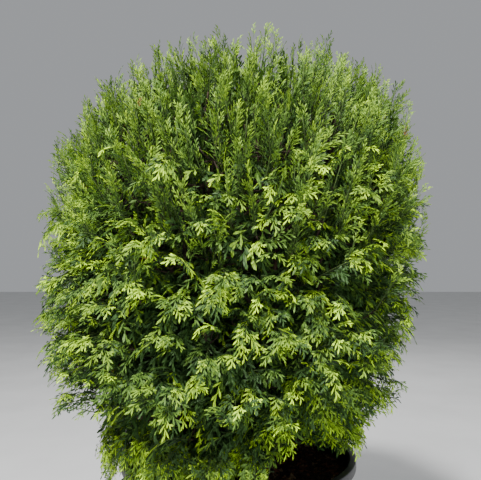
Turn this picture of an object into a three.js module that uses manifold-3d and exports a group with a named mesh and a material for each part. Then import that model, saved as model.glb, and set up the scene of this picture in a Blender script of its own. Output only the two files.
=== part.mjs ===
// A globe thuja in a black nursery pot, in millimetres, +Z up.
// The origin is the middle of the pot's flat underside, and the viewer stands towards -Y.
//
// A short trunk stands on the potting mix and forks into boughs. The boughs rise and spread inside the
// hollow heart of the crown. Each one carries a mass of foliage: a stem, a dense core, and flat toothed
// sprays that stand out of the core as far as the crown's outline. The masses share the crown out among
// themselves like the segments of a fruit, so that each one keeps to its own space.

import * as THREE from "three";
import { mergeVertices } from "three/addons/utils/BufferGeometryUtils.js";
import Module from "manifold-3d";

const wasm = await Module();
wasm.setup();

// Clearance between pieces that touch, and how far the edges of fused foliage may be evened out
const GAP = 0.3;
const FUSED_TOLERANCE = 0.1;

// The pot: a tapered thin shell whose lip is turned out and down
const POT_HEIGHT = 295;
const POT_FOOT_RADIUS = 146;
const POT_MOUTH_RADIUS = 170;
const POT_RIM_RADIUS = 178;
const POT_WALL = 2.5;
const POT_FOOT_CHAMFER = 4;
const LIP_DROP = 14;
const BAND_HEIGHT = 52;
const BAND_STEP = 2;
const POT_SIDES = 30;
const DRAIN_COUNT = 6;
const DRAIN_RADIUS = 11;
const DRAIN_LEVEL = 5;
const DRAIN_SIDES = 6;

// The potting mix, a little below the rim and a little higher round the trunk
const SOIL_DEPTH_BELOW_RIM = 26;
const SOIL_MOUND = 7;
const SOIL_MOUND_RADIUS = 48;

// The trunk, from the potting mix to its fork
const SOIL_TOP = POT_HEIGHT - SOIL_DEPTH_BELOW_RIM + SOIL_MOUND;
const TRUNK_FOOT = SOIL_TOP + GAP;
const TRUNK_TOP = 470;
const TRUNK_RADIUS = 15;
const TRUNK_TOP_RADIUS = 8.5;
const ROOT_FLARE = 0.75;
const ROOT_FLARE_FALL = 11;
const TRUNK_BOW = 4;
const TRUNK_SIDES = 10;
const TRUNK_STEPS = 7;

// The crown: a squarish globe that leans a little to the right as it rises, and is squarer at its lower left
const CROWN_RADIUS = 286;
const CROWN_WAIST = 582;
const CROWN_TOP = 893;
const CROWN_FOOT = 240;
const UPPER_SQUARENESS = 2.8;
const LOWER_LEFT_SQUARENESS = 3.1;
const LOWER_RIGHT_SQUARENESS = 2.5;
const CROWN_LEAN = 0.055;
const CROWN_SHIFT = -9;

// The heart of the crown, which the masses of foliage are spread round in staggered rings
const HEART_HEIGHT = 540;
const MASS_RINGS = [
  { height: 328, count: 6, sprays: 9 },
  { height: 485, count: 6, sprays: 8 },
  { height: 652, count: 6, sprays: 8 },
  { height: 812, count: 5, sprays: 9 },
  { height: CROWN_TOP, count: 1, sprays: 8 },
];
const RING_TURN = 0.9;
const RING_JITTER = 0.14;
const HEIGHT_JITTER = 16;
const GOLDEN_ANGLE = Math.PI * (3 - Math.sqrt(5));

// The boughs, which start low on the trunk for low masses and at its fork for the highest one
const LOWEST_BOUGH = 335;
const BOUGH_RADIUS = 5.4;
const BOUGH_TIP_RADIUS = 2.8;
const BOUGH_BEND = 0.36;
const BOUGH_SIDES = 5;
const BOUGH_STEPS = 4;
const STEM_TIP_RADIUS = 2;

// The underside: a hollow round the trunk, a skirt over the pot, a hem that hangs beside its rim, and an eave
// further out. Skirt and hem rise on the side where the potting mix shows, and the eave rises to the front.
const HOLLOW_RADIUS = 80;
const HOLLOW_TOP = 430;
const OPEN_SIDE = new THREE.Vector3(0.57, -0.82, 0);
const OPEN_SHARPNESS = 4;
const SKIRT_RISE = 50;
const HEM_LEVEL = 252;
const HEM_RISE = 110;
const EAVE_RADIUS = 215;
const EAVE_LEVEL = 345;
const EAVE_RISE = 0.25;

// The core of a mass. Depths are shares of the crown's reach from its heart.
const CORE_DEPTH = 0.73;
const CORE_HALF_DEPTH = 0.125;
const CORE_FULLNESS = 0.2;
const CORE_LUMPS = 0.07;
const CORE_BORDER = 2.5;
const CORE_SIDES = 12;
const CORE_RINGS = 3;
const WIDEST_ANGLE = 1.1;
const ANGLE_STEP = 0.01;

// The sprays that stand out of a core. Each is tried with a share of its slant, a twist and a share of its
// width, in this order, until it fits.
const SPRAY_TRIALS = [
  [1, 0, 1],
  [0.5, 0, 1],
  [0, 0, 1],
  [0.5, 0.8, 1],
  [0.5, -0.8, 1],
  [0, 0.8, 0.8],
  [0, -0.8, 0.8],
  [0, 1.5, 0.7],
];
const SPRAY_LENGTH = 112;
const SPRAY_ROOT_SPREAD = 0.6;
const DEEPEST_ROOT = 0.72;
const SPRAY_SLANT = 64;
const SLANT_TURNOVER = 0.2;
const SUNK_VOLUME = 200;
const SPRAY_ROLL = 0.3;
const SPRAY_WIDTH = 0.32;
const SPRAY_THICKNESS = 1.6;
const SPRAY_SAG = 14;
const SHORTEST_REACH = 0.93;
const MASS_CLEARANCE = 0.6;
const POT_CLEARANCE = 4;
const SEED = 20261;

const HEART = new THREE.Vector3(0, 0, HEART_HEIGHT);
const UP = new THREE.Vector3(0, 0, 1);

// Finishes
const BLACK_PLASTIC = new THREE.MeshStandardMaterial({ color: 0x1b1c1e, roughness: 0.5, metalness: 0 });
const POTTING_MIX = new THREE.MeshStandardMaterial({ color: 0x3a2a20, roughness: 0.95, metalness: 0 });
const BARK = new THREE.MeshStandardMaterial({ color: 0x6f4f38, roughness: 0.9, metalness: 0 });
const FOLIAGE = new THREE.MeshStandardMaterial({ color: 0x6f9a2e, roughness: 0.6, metalness: 0 });

// Repeatable chance from 0 to 1, worked out from the seed and up to three whole numbers
function chance(a, b, c) {
  let bits = SEED ^ Math.imul(a + 1, 0x9e3779b1) ^ Math.imul(b + 1, 0x85ebca6b) ^ Math.imul(c + 1, 0xc2b2ae35);
  bits = Math.imul(bits ^ (bits >>> 16), 0x7feb352d);
  bits = Math.imul(bits ^ (bits >>> 15), 0x846ca68b);
  return ((bits ^ (bits >>> 16)) >>> 0) / 2 ** 32;
}

// Chance between two bounds
function between(low, high, a, b, c) {
  return low + (high - low) * chance(a, b, c);
}

// A closed geometry as a solid that can be cut and joined
function solidOf(geometry) {
  const bare = new THREE.BufferGeometry();
  bare.setAttribute("position", geometry.getAttribute("position"));
  bare.setIndex(geometry.index);
  const merged = mergeVertices(bare, 1e-3);
  const triVerts = [];
  for (let i = 0; i < merged.index.count; i += 3) {
    const [a, b, c] = [0, 1, 2].map((corner) => merged.index.getX(i + corner));
    if (a !== b && b !== c && c !== a) triVerts.push(a, b, c);
  }
  const vertProperties = merged.getAttribute("position").array;
  const mesh = new wasm.Mesh({ numProp: 3, vertProperties, triVerts: new Uint32Array(triVerts) });
  return new wasm.Manifold(mesh);
}

// A solid as a geometry again
function geometryOf(solid) {
  const { vertProperties, triVerts } = solid.getMesh();
  const geometry = new THREE.BufferGeometry();
  geometry.setAttribute("position", new THREE.BufferAttribute(vertProperties, 3));
  geometry.setIndex(new THREE.BufferAttribute(triVerts, 1));
  geometry.computeVertexNormals();
  return geometry;
}

// A body of revolution about Z, from [radius, height] pairs that start and end on the axis
function turned(profile, sides) {
  const points = profile.map(([radius, height]) => new THREE.Vector2(radius, height));
  return new THREE.LatheGeometry(points, sides).rotateX(Math.PI / 2);
}

// The pot's outer radius at a height, below its lip. The top band stands out from the rest.
function potRadius(height) {
  const band = height > POT_HEIGHT - BAND_HEIGHT ? BAND_STEP : 0;
  return POT_FOOT_RADIUS + ((POT_MOUTH_RADIUS - POT_FOOT_RADIUS) * height) / POT_HEIGHT + band - BAND_STEP;
}

function potSolid() {
  const bandFoot = POT_HEIGHT - BAND_HEIGHT;
  const lipFoot = POT_HEIGHT - LIP_DROP;
  const lipUnderside = POT_HEIGHT - POT_WALL;
  const shell = turned(
    [
      [0, 0],
      [potRadius(0) - POT_FOOT_CHAMFER, 0],
      [potRadius(POT_FOOT_CHAMFER), POT_FOOT_CHAMFER],
      [potRadius(bandFoot), bandFoot],
      [potRadius(bandFoot) + BAND_STEP, bandFoot + BAND_STEP],
      [potRadius(lipUnderside), lipUnderside],
      [POT_RIM_RADIUS - POT_WALL, lipUnderside],
      [POT_RIM_RADIUS - POT_WALL, lipFoot],
      [POT_RIM_RADIUS, lipFoot],
      [POT_RIM_RADIUS, POT_HEIGHT - POT_WALL],
      [POT_RIM_RADIUS - POT_WALL, POT_HEIGHT],
      [potRadius(POT_HEIGHT) - POT_WALL, POT_HEIGHT],
      [potRadius(bandFoot) + BAND_STEP - POT_WALL, bandFoot + BAND_STEP],
      [potRadius(bandFoot) - POT_WALL, bandFoot],
      [potRadius(POT_WALL) - POT_WALL - POT_FOOT_CHAMFER / 2, POT_WALL],
      [0, POT_WALL],
    ],
    POT_SIDES,
  );
  return drains().reduce((pot, drain) => pot.subtract(drain), solidOf(shell));
}

// Drain notches round the foot, through the wall and the edge of the underside
function drains() {
  return Array.from({ length: DRAIN_COUNT }, (_, i) => {
    const notch = new THREE.CylinderGeometry(DRAIN_RADIUS, DRAIN_RADIUS, 6 * POT_WALL, DRAIN_SIDES);
    notch.rotateZ(Math.PI / 2);
    notch.translate(POT_FOOT_RADIUS - BAND_STEP, 0, DRAIN_LEVEL);
    notch.rotateZ(((i + 0.5) * 2 * Math.PI) / DRAIN_COUNT);
    return solidOf(notch);
  });
}

// The potting mix follows the inside of the pot and stays clear of it
function soilSolid() {
  const bandFoot = POT_HEIGHT - BAND_HEIGHT;
  const edge = POT_HEIGHT - SOIL_DEPTH_BELOW_RIM;
  const inside = (height) => potRadius(height) - POT_WALL - 2 * GAP;
  const foot = POT_WALL + GAP;
  return solidOf(
    turned(
      [
        [0, foot],
        [inside(foot) - POT_FOOT_CHAMFER, foot],
        [inside(bandFoot), bandFoot],
        [inside(bandFoot) + BAND_STEP, bandFoot + 2 * BAND_STEP],
        [inside(edge), edge],
        [SOIL_MOUND_RADIUS, SOIL_TOP],
        [0, SOIL_TOP],
      ],
      POT_SIDES,
    ),
  );
}

// The trunk's sideways shift at a height: it leans with the crown, in a slight bow
function trunkShift(height) {
  const share = (height - TRUNK_FOOT) / (TRUNK_TOP - TRUNK_FOOT);
  return TRUNK_BOW * share * (1 + share);
}

// The trunk's radius at a share of its height, widest at the root flare
function trunkRadius(share) {
  const taper = TRUNK_RADIUS + (TRUNK_TOP_RADIUS - TRUNK_RADIUS) * share;
  return taper * (1 + ROOT_FLARE * Math.exp(-ROOT_FLARE_FALL * share));
}

// The trunk between flat level cuts; grow gives a fatter and taller one to cut its neighbours with
function trunkSolid(grow = 0) {
  const geometry = new THREE.CylinderGeometry(1, 1, 1, TRUNK_SIDES, TRUNK_STEPS);
  const position = geometry.getAttribute("position");
  for (let i = 0; i < position.count; i++) {
    const share = position.getY(i) + 0.5;
    const height = TRUNK_FOOT + share * (TRUNK_TOP + grow - TRUNK_FOOT);
    const radius = trunkRadius(share) + grow;
    const x = trunkShift(height) + radius * position.getZ(i);
    position.setXYZ(i, x, radius * position.getX(i), height);
  }
  return solidOf(geometry);
}

// A tapering limb: a capped cylinder bent along a curve that lies in an upright plane, between two shares
// of the curve's length
function limb(curve, from, to, radiusAt, sides, steps) {
  const across = levelAcross(curve.getPointAt(1).sub(curve.getPointAt(0)));
  const geometry = new THREE.CylinderGeometry(1, 1, 1, sides, steps);
  const position = geometry.getAttribute("position");
  for (let i = 0; i < position.count; i++) {
    const share = from + (to - from) * (position.getY(i) + 0.5);
    const radius = radiusAt(share);
    const point = curve.getPointAt(share);
    const above = new THREE.Vector3().crossVectors(across, curve.getTangentAt(share));
    point.addScaledVector(across, radius * position.getX(i));
    point.addScaledVector(above, radius * position.getZ(i));
    position.setXYZ(i, point.x, point.y, point.z);
  }
  return solidOf(geometry);
}

// The level direction square to another one
function levelAcross(direction) {
  const across = new THREE.Vector3().crossVectors(UP, direction);
  return across.lengthSq() < 1e-6 ? new THREE.Vector3(0, 1, 0) : across.normalize();
}

// The crown's radius at a height: two half superellipses that meet at the waist. The lower one is squarest
// at the left, where east is -1, and least square at the right, where it is 1.
function crownRadius(height, east) {
  const upper = height > CROWN_WAIST;
  const lowerSquareness = LOWER_LEFT_SQUARENESS + ((LOWER_RIGHT_SQUARENESS - LOWER_LEFT_SQUARENESS) * (1 + east)) / 2;
  const squareness = upper ? UPPER_SQUARENESS : lowerSquareness;
  const rise = Math.abs(height - CROWN_WAIST) / (upper ? CROWN_TOP - CROWN_WAIST : CROWN_WAIST - CROWN_FOOT);
  return CROWN_RADIUS * (1 - Math.min(1, rise) ** squareness) ** (1 / squareness);
}

// The crown's middle at a height
function crownMiddle(height) {
  return CROWN_SHIFT + CROWN_LEAN * (height - CROWN_WAIST);
}

// Within the crown's outline
function inTheCrown(point) {
  const offMiddle = point.x - crownMiddle(point.z);
  const offAxis = Math.hypot(offMiddle, point.y);
  const betweenEnds = point.z < CROWN_TOP && point.z > CROWN_FOOT;
  return betweenEnds && offAxis < crownRadius(point.z, offMiddle / Math.max(offAxis, 1e-9));
}

// How far the crown reaches from its heart in a direction, found by halving
function crownReach(direction) {
  let near = 0;
  let far = CROWN_TOP;
  for (let i = 0; i < 40; i++) {
    const middle = (near + far) / 2;
    if (inTheCrown(HEART.clone().addScaledVector(direction, middle))) near = middle;
    else far = middle;
  }
  return near;
}

// Directions from the heart to the middles of the masses, ring by ring, a little uneven as on a real plant
function massDirections() {
  return MASS_RINGS.flatMap(({ height, count }, ring) =>
    Array.from({ length: count }, (_, i) => {
      const turn = ((i + ring / 2) * 2 * Math.PI) / count + RING_TURN;
      const askew = turn + between(-RING_JITTER, RING_JITTER, ring, i, 4);
      const level = height + (count > 1 ? between(-HEIGHT_JITTER, HEIGHT_JITTER, ring, i, 5) : 0);
      const radius = crownRadius(level, Math.cos(askew));
      const x = crownMiddle(level) + radius * Math.cos(askew);
      return new THREE.Vector3(x, radius * Math.sin(askew), level).sub(HEART).normalize();
    }),
  );
}

const DIRECTIONS = massDirections();
const MASS_COUNT = DIRECTIONS.length;
const SPRAY_COUNTS = MASS_RINGS.flatMap(({ count, sprays }) => Array(count).fill(sprays));

// A point is in a mass's own space when it lies nearer to that mass's direction than to any other
function inOwnSpace(point, mass, clearance) {
  const arm = point.clone().sub(HEART);
  return DIRECTIONS.every((other, i) => {
    if (i === mass) return true;
    const border = DIRECTIONS[mass].clone().sub(other).normalize();
    return border.dot(arm) > clearance;
  });
}

// How squarely a point lies on the open side, from 0 to 1
function openness(point) {
  const radius = Math.max(GAP, Math.hypot(point.x, point.y));
  return (Math.max(0, point.dot(OPEN_SIDE)) / radius) ** OPEN_SHARPNESS;
}

// The lowest level of foliage over the pot
function skirtLevel(point) {
  return POT_HEIGHT + POT_CLEARANCE + SKIRT_RISE * openness(point);
}

// The level of the underside at a point: the skirt over the pot, then the hem, then the eave
function undersideLevel(point) {
  const radius = Math.hypot(point.x, point.y);
  if (radius < POT_RIM_RADIUS + POT_CLEARANCE) return skirtLevel(point);
  const hem = HEM_LEVEL + HEM_RISE * openness(point);
  const eave = EAVE_LEVEL + EAVE_RISE * Math.max(0, -point.y);
  return radius < EAVE_RADIUS ? hem : Math.max(hem, eave);
}

// Above the underside, and not in the hollow round the foot of the trunk
function inTheOpen(point) {
  const besideHollow = Math.hypot(point.x, point.y) > HOLLOW_RADIUS || point.z > HOLLOW_TOP;
  return point.z > undersideLevel(point) && besideHollow;
}

// The point at an angle from a mass's direction, turned round it, and at a share of the crown's reach
function placeInMass(mass, turn, angle, depth) {
  const outward = DIRECTIONS[mass];
  const east = levelAcross(outward);
  const north = new THREE.Vector3().crossVectors(outward, east);
  const direction = outward.clone().multiplyScalar(Math.cos(angle));
  direction.addScaledVector(east, Math.cos(turn) * Math.sin(angle));
  direction.addScaledVector(north, Math.sin(turn) * Math.sin(angle));
  return HEART.clone().addScaledVector(direction, depth * crownReach(direction));
}

// The angle at which a mass meets its neighbours' spaces, the rim or the hollow
function spaceEdge(mass, turn, clearance) {
  let angle = 0;
  while (angle < WIDEST_ANGLE) {
    const point = placeInMass(mass, turn, angle + ANGLE_STEP, CORE_DEPTH);
    if (!inOwnSpace(point, mass, clearance) || !inTheOpen(point)) break;
    angle += ANGLE_STEP;
  }
  return angle;
}

function pointsOf(geometry) {
  const position = geometry.getAttribute("position");
  return Array.from({ length: position.count }, (_, i) => new THREE.Vector3().fromBufferAttribute(position, i));
}

// The line of a mass's bough and stem: flat out of the trunk, then bending up or down to the core's middle.
// Boughs of lower masses leave the trunk lower.
function boughLine(mass) {
  const share = mass / (MASS_COUNT - 1);
  const height = LOWEST_BOUGH + (TRUNK_TOP - LOWEST_BOUGH) * share;
  const start = new THREE.Vector3(trunkShift(height), 0, height);
  const end = coreMiddle(mass);
  const control = start.clone().lerp(end, 0.5);
  control.z -= BOUGH_BEND * (end.z - start.z);
  return new THREE.QuadraticBezierCurve3(start, control, end);
}

function coreMiddle(mass) {
  return placeInMass(mass, 0, 0, CORE_DEPTH);
}

function boughRadius(share) {
  return BOUGH_RADIUS + (BOUGH_TIP_RADIUS - BOUGH_RADIUS) * share;
}

// The share of its line at which a bough comes close to its core and ends
function boughEnd(line) {
  const end = line.getPointAt(1);
  const coreThickness = (2 * CORE_HALF_DEPTH * end.distanceTo(HEART)) / CORE_DEPTH;
  return 1 - coreThickness / line.getLength();
}

// A bough from the trunk to its mass; grow gives a fatter and longer one to cut its neighbours with
function boughSolid(mass, grow = 0) {
  const line = boughLine(mass);
  const end = boughEnd(line) + grow / line.getLength();
  return limb(line, 0, end, (share) => boughRadius(share) + grow, BOUGH_SIDES, BOUGH_STEPS);
}

// The stem carries the bough's line on into the core
function stemSolid(mass) {
  const line = boughLine(mass);
  const start = boughEnd(line) + GAP / line.getLength();
  const taper = (share) => {
    const along = (share - start) / (1 - start);
    return boughRadius(start) + (STEM_TIP_RADIUS - boughRadius(start)) * along;
  };
  return limb(line, start, 1, taper, BOUGH_SIDES, 2);
}

// A lumpy cushion that fills the mass's own space between two depths
function coreSolid(mass) {
  const ball = new THREE.SphereGeometry(1, CORE_SIDES, CORE_RINGS);
  const position = ball.getAttribute("position");
  for (const [i, point] of pointsOf(ball).entries()) {
    const turn = Math.abs(point.y) > 0.999 ? 0 : Math.atan2(point.x, point.z);
    const swing = Math.hypot(point.x, point.z) ** CORE_FULLNESS;
    const lump = chance(mass, Math.round(10 * turn + 40), Math.round(10 * point.y + 20));
    const depth = (CORE_DEPTH + CORE_HALF_DEPTH * point.y) * (1 - CORE_LUMPS * lump);
    const placed = placeInMass(mass, turn, swing * spaceEdge(mass, turn, CORE_BORDER), depth);
    position.setXYZ(i, placed.x, placed.y, Math.max(placed.z, skirtLevel(placed)));
  }
  return solidOf(ball);
}

// The outline of a flat spray one unit long, with teeth that stand out alternately to each side
function sprayShape() {
  const tooth = (share, side) => [
    [share + 0.1, side * SPRAY_WIDTH * Math.sin(Math.PI * share)],
    [share + 0.12, side * 0.12 * (1 - share)],
  ];
  const right = [0.4, 0.74].flatMap((share) => tooth(share, -1));
  const left = [0.26, 0.6].flatMap((share) => tooth(share, 1));
  const outline = [[0, 0], ...right, [1, 0], ...left.reverse()];
  return new THREE.Shape(outline.map(([x, y]) => new THREE.Vector2(x, y)));
}

// A spray from its root to its tip, turned about its own length by roll and narrowed by slim
function spray(root, tip, roll, slim) {
  const geometry = new THREE.ExtrudeGeometry(sprayShape(), { depth: SPRAY_THICKNESS, bevelEnabled: false });
  const length = root.distanceTo(tip);
  const along = tip.clone().sub(root).normalize();
  const side = levelAcross(along).applyAxisAngle(along, roll);
  const face = new THREE.Vector3().crossVectors(along, side);
  const position = geometry.getAttribute("position");
  for (const [i, point] of pointsOf(geometry).entries()) {
    const placed = root.clone().addScaledVector(along, length * point.x);
    placed.addScaledVector(side, length * slim * point.y);
    placed.addScaledVector(face, point.z - SPRAY_THICKNESS / 2);
    placed.z += SPRAY_SAG * point.x * (1 - point.x);
    position.setXYZ(i, placed.x, placed.y, placed.z);
  }
  return geometry;
}

// The sprays of a mass: roots and tips spread like the seeds of a sunflower round its direction. Low sprays
// slant down and high ones up. A spray that would leave the mass's space, touch a limb or stand too shallow
// in the core is turned or narrowed until it fits, and otherwise left out.
function spraySolids(mass, core, limbs) {
  const outward = DIRECTIONS[mass];
  const north = new THREE.Vector3().crossVectors(outward, levelAcross(outward));
  const slant = outward.z > SLANT_TURNOVER ? SPRAY_SLANT : -SPRAY_SLANT;
  const firstTurn = 2 * Math.PI * chance(mass, 0, 1);
  const made = [];
  for (let i = 0; i < SPRAY_COUNTS[mass]; i++) {
    const turn = Math.PI - ((firstTurn + i * GOLDEN_ANGLE) % (2 * Math.PI));
    const angle = spaceEdge(mass, turn, MASS_CLEARANCE) * Math.sqrt((i + 0.4) / SPRAY_COUNTS[mass]);
    const tip = placeInMass(mass, turn, angle, between(SHORTEST_REACH, 1, mass, i, 2));
    if (!inTheOpen(tip)) tip.z = undersideLevel(tip) + 1;
    const rootDepth = Math.max(DEEPEST_ROOT, 1 - SPRAY_LENGTH / tip.distanceTo(HEART));
    const root = placeInMass(mass, turn, angle * SPRAY_ROOT_SPREAD, rootDepth);
    const roll = between(-SPRAY_ROLL, SPRAY_ROLL, mass, i, 3);
    const fits = (geometry) =>
      pointsOf(geometry).every((point) => inOwnSpace(point, mass, MASS_CLEARANCE) && inTheOpen(point)) &&
      solidOf(geometry).intersect(core).volume() > SUNK_VOLUME &&
      solidOf(geometry).intersect(limbs).isEmpty();
    const fitting = SPRAY_TRIALS.map(([slantShare, twist, slim]) =>
      spray(root.clone().addScaledVector(north, -slant * slantShare), tip, roll + twist, slim),
    ).find(fits);
    if (fitting) made.push(solidOf(fitting));
  }
  return made;
}

// A solid without any scrap that has come loose from it
function largestPiece(solid) {
  return solid.decompose().sort((one, other) => other.volume() - one.volume())[0];
}

// A mass: the core and its sprays, cut clear of the limbs, on the stem
function massSolid(mass, limbs) {
  const core = coreSolid(mass);
  const foliage = wasm.Manifold.union([core, ...spraySolids(mass, core, limbs)]);
  const whole = foliage.subtract(limbs).add(stemSolid(mass));
  return largestPiece(whole.asOriginal().simplify(FUSED_TOLERANCE));
}

const plant = new THREE.Group();

function twoDigits(number) {
  return String(number).padStart(2, "0");
}

function addPiece(name, solid, material) {
  const mesh = new THREE.Mesh(geometryOf(solid), material);
  mesh.name = name;
  plant.add(mesh);
}

addPiece("pot", potSolid(), BLACK_PLASTIC);
addPiece("potting_mix", soilSolid(), POTTING_MIX);
addPiece("trunk", trunkSolid(), BARK);

// Each bough is cut clear of the trunk and of the boughs below it
let limbs = trunkSolid(GAP);
for (let mass = 0; mass < MASS_COUNT; mass++) {
  addPiece("bough_" + twoDigits(mass + 1), largestPiece(boughSolid(mass).subtract(limbs)), BARK);
  limbs = limbs.add(boughSolid(mass, GAP));
}
for (let mass = 0; mass < MASS_COUNT; mass++) {
  addPiece("foliage_" + twoDigits(mass + 1), massSolid(mass, limbs), FOLIAGE);
}

export default plant;
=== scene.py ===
# %% [markdown]
# # A globe thuja in a nursery pot
# A globe thuja is a conifer that grows into a dense round ball. A short trunk forks into boughs inside the
# ball, the boughs fork into branches and twigs, and each twig ends in a frond: flat fans of scaly green
# branchlets set by turns to its left and right. This lesson grows all of that from arrays of numbers.
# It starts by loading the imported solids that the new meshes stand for. They give the height and the rim
# of the pot and the two ends of the trunk.

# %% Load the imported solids
import math

import bpy
import numpy as np
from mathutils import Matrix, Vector


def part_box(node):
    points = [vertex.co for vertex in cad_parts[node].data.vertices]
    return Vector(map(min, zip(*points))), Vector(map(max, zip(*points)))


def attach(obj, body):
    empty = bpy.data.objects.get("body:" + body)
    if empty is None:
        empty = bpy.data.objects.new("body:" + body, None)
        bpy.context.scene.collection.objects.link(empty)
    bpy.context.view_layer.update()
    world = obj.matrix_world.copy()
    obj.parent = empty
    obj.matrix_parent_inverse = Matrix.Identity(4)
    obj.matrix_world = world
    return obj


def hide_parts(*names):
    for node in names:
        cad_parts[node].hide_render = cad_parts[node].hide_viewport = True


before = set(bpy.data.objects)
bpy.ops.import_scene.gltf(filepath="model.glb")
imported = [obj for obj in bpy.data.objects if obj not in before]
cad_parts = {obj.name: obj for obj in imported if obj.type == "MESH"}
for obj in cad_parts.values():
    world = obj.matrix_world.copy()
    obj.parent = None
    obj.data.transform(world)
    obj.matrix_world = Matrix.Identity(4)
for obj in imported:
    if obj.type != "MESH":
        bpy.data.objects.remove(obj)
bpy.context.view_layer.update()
NODES = sorted(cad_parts)
POT_LOW, POT_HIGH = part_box("pot")
TRUNK_LOW, TRUNK_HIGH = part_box("trunk")

# %% [markdown]
# ## The camera
# The picture was taken from close by, a little above the middle of the plant, looking very slightly up.
# The rim of the pot and the width of the crown at many heights fix the distance, the height and the angle
# of view. A camera's lens is its angle of view told in millimetres for a sensor 36 mm wide.

# %% Set up the camera
PICTURE_WIDTH = 481
FOCAL_PIXELS = 532
SENSOR_WIDTH = 36.0
CAMERA_PLACE = (0.003, -0.835, 0.575)
CAMERA_PITCH = math.radians(3.0)

camera_data = bpy.data.cameras.new("camera")
camera_data.sensor_width = SENSOR_WIDTH
camera_data.lens = SENSOR_WIDTH * FOCAL_PIXELS / PICTURE_WIDTH
camera = bpy.data.objects.new("camera", camera_data)
camera.location = CAMERA_PLACE
camera.rotation_euler = (math.pi / 2 + CAMERA_PITCH, 0, 0)
bpy.context.scene.collection.objects.link(camera)
bpy.context.scene.camera = camera
print("lens:", round(camera_data.lens, 1), "mm")

# %% [markdown]
# ## From arrays to meshes
# Every shape below is worked out as whole arrays: a list of points and a list of triangles that name them.
# Blender takes both in one go with foreach_set, which is far quicker than adding points one by one.
# Two kinds of surface come back again and again, a profile turned round an axis and a tube along a path,
# and both are rows of points in rings. So one function makes the triangles for both.

# %% Put arrays into a mesh
BODY = "root"


def add_mesh(name, points, triangles, material, smooth=True):
    """Make an object from points (n x 3, metres) and triangles (m x 3, indices into the points)."""
    mesh = bpy.data.meshes.new(name)
    mesh.vertices.add(len(points))
    mesh.vertices.foreach_set("co", np.asarray(points, np.float32).ravel())
    mesh.loops.add(3 * len(triangles))
    mesh.loops.foreach_set("vertex_index", np.asarray(triangles, np.int32).ravel())
    mesh.polygons.add(len(triangles))
    mesh.polygons.foreach_set("loop_start", 3 * np.arange(len(triangles), dtype=np.int32))
    mesh.polygons.foreach_set("use_smooth", np.full(len(triangles), smooth))
    mesh.update(calc_edges=True)
    mesh.materials.append(material)
    thing = bpy.data.objects.new(name, mesh)
    bpy.context.scene.collection.objects.link(thing)
    return thing


def add_piece(name, points, triangles, material, slot, replaced=(), smooth=True):
    """Add a piece of the plant that rides on its body and stands for the named solids."""
    piece = add_mesh(name, points, triangles, material, smooth)
    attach(piece, BODY)
    if replaced:
        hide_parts(*replaced)
    print(name, "triangles:", len(triangles))
    return piece


# %% Triangles between rings
def ring_triangles(rows, sides):
    """Triangles between rings of points, row after row, and a fan at each end.

    Point number row * sides + side lies in ring row; the last two points close the two ends.
    """
    row, side = np.meshgrid(np.arange(rows - 1), np.arange(sides), indexing="ij")
    here = row * sides + side
    beside = row * sides + (side + 1) % sides
    lower = np.stack([here, beside, beside + sides], axis=-1)
    upper = np.stack([here, beside + sides, here + sides], axis=-1)
    edge = np.arange(sides)
    edge_beside = (edge + 1) % sides
    last_ring = (rows - 1) * sides
    first_end = np.full(sides, rows * sides)
    start_fan = np.stack([first_end, edge_beside, edge], axis=-1)
    end_fan = np.stack([first_end + 1, last_ring + edge, last_ring + edge_beside], axis=-1)
    return np.vstack([lower.reshape(-1, 3), upper.reshape(-1, 3), start_fan, end_fan])


def even_turns(count):
    """Angles in even steps round a circle."""
    return 2 * np.pi * np.arange(count) / count


def around(radius, turn, height):
    """Points round the Z axis: radius times cosine, radius times sine, and a height."""
    east, north = radius * np.cos(turn), radius * np.sin(turn)
    return np.stack(np.broadcast_arrays(east, north, height), axis=-1)


def lathe(profile, sides):
    """A profile of (radius, height) pairs carried round the Z axis, from one pole to the other."""
    profile = np.asarray(profile, float)
    radius, height = profile[1:-1].T
    rings = around(radius[:, None], even_turns(sides), height[:, None])
    poles = [[0, 0, profile[0, 1]], [0, 0, profile[-1, 1]]]
    return np.vstack([rings.reshape(-1, 3), poles]), ring_triangles(len(radius), sides)


# %% Tubes along many paths at once
def unit(vectors):
    """Each vector divided by its own length."""
    return vectors / np.maximum(np.linalg.norm(vectors, axis=-1, keepdims=True), 1e-12)


def tubes(paths, radii, sides):
    """Round tubes along paths (n x steps x 3) with a radius for each step (n x steps).

    Each ring stands square to its path. It is turned from the axis, X, Y or Z, that the path keeps
    furthest from, so neighbouring rings never twist against each other.
    """
    tangent = unit(np.gradient(paths, axis=1))
    span = np.abs(paths[:, -1] - paths[:, 0])
    reference = np.eye(3)[np.argmin(span, axis=1)][:, None]
    across = unit(np.cross(tangent, reference))
    above = np.cross(tangent, across)
    turn = even_turns(sides)
    ring = across[:, :, None] * np.cos(turn)[:, None] + above[:, :, None] * np.sin(turn)[:, None]
    rings = paths[:, :, None] + radii[:, :, None, None] * ring
    count, steps = radii.shape
    points = np.concatenate([rings.reshape(count, -1, 3), paths[:, [0, -1]]], axis=1)
    return join_copies(points, ring_triangles(steps, sides))


def join_copies(points, triangles):
    """Many copies of one set of triangles (points: copies x n x 3), joined into one list of each."""
    copies, size = points.shape[:2]
    shifted = triangles[None] + size * np.arange(copies)[:, None, None]
    return points.reshape(-1, 3), shifted.reshape(-1, 3)


def bent(start, control, end, steps):
    """Quadratic curves: a point slides from start towards control, and another from control towards end,
    and the curve's point slides from the first to the second. Starts, controls and ends are n x 3."""
    share = np.linspace(0, 1, steps)[:, None]
    first = start[:, None] * (1 - share) + control[:, None] * share
    second = control[:, None] * (1 - share) + end[:, None] * share
    return first * (1 - share) + second * share


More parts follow.
